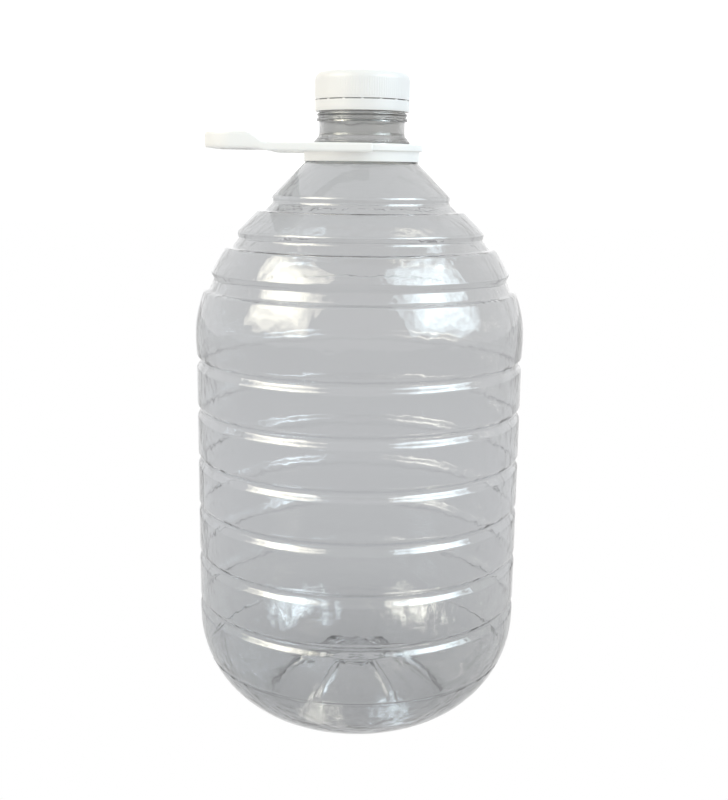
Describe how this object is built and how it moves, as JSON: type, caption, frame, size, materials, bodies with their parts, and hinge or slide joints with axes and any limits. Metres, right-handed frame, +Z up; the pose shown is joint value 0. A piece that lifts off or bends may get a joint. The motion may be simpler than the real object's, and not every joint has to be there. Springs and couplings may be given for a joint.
{
  "type": "water jug",
  "caption": "Large clear water jug with ring grooves, domed shoulder, threaded neck, white screw cap with tamper band and folding carry handle on a neck collar.",
  "frame": {"origin": "centre of the ring that the bottle stands on, on the bottle's axis", "axes": "+Z up along the bottle's axis, the carry handle points to -X, the handle's pivots lie along Y"},
  "size_m": [0.1772, 0.1772, 0.348],
  "materials": {
    "clear_pet": "clear, glossy, slightly grey",
    "white_cap_plastic": "satin moulded polyethylene",
    "white_handle_plastic": "satin moulded polyethylene",
    "liner_foam": "matt foamed polyethylene"
  },
  "bodies": {
    "bottle": {"bottle": "clear_pet", "bottle_neck": "clear_pet"},
    "cap_carrier": {"cap_liner": "liner_foam"},
    "cap": {"screw_cap": "white_cap_plastic"},
    "band": {"tamper_band": "white_cap_plastic"},
    "collar": {"handle_collar": "white_handle_plastic"},
    "handle": {"handle_bail": "white_handle_plastic"}
  },
  "joints": [
    {"name": "cap_lift", "type": "slide", "parent": "bottle", "child": "cap_carrier", "axis": [0, 0, 1], "range_m": [0, 0.0096]},
    {"name": "cap_turn", "type": "hinge", "parent": "cap_carrier", "child": "cap", "pos_m": [0, 0, 0.3408], "axis": [0, 0, 1], "range_deg": [0, 360]},
    {"name": "band_turn", "type": "hinge", "parent": "bottle", "child": "band", "pos_m": [0, 0, 0.3305], "axis": [0, 0, 1], "continuous": true},
    {"name": "collar_turn", "type": "hinge", "parent": "bottle", "child": "collar", "pos_m": [0, 0, 0.3089], "axis": [0, 0, 1], "continuous": true},
    {"name": "bail_fold", "type": "hinge", "parent": "collar", "child": "handle", "pos_m": [0, 0, 0.30894], "axis": [0, 1, 0], "range_deg": [-20, 90], "stiffness_Nm_per_rad": 0.15}
  ],
  "couplings": [
    {"joint": "cap_lift", "follows": "cap_turn", "m_per_rad": 0.0015279}
  ]
}
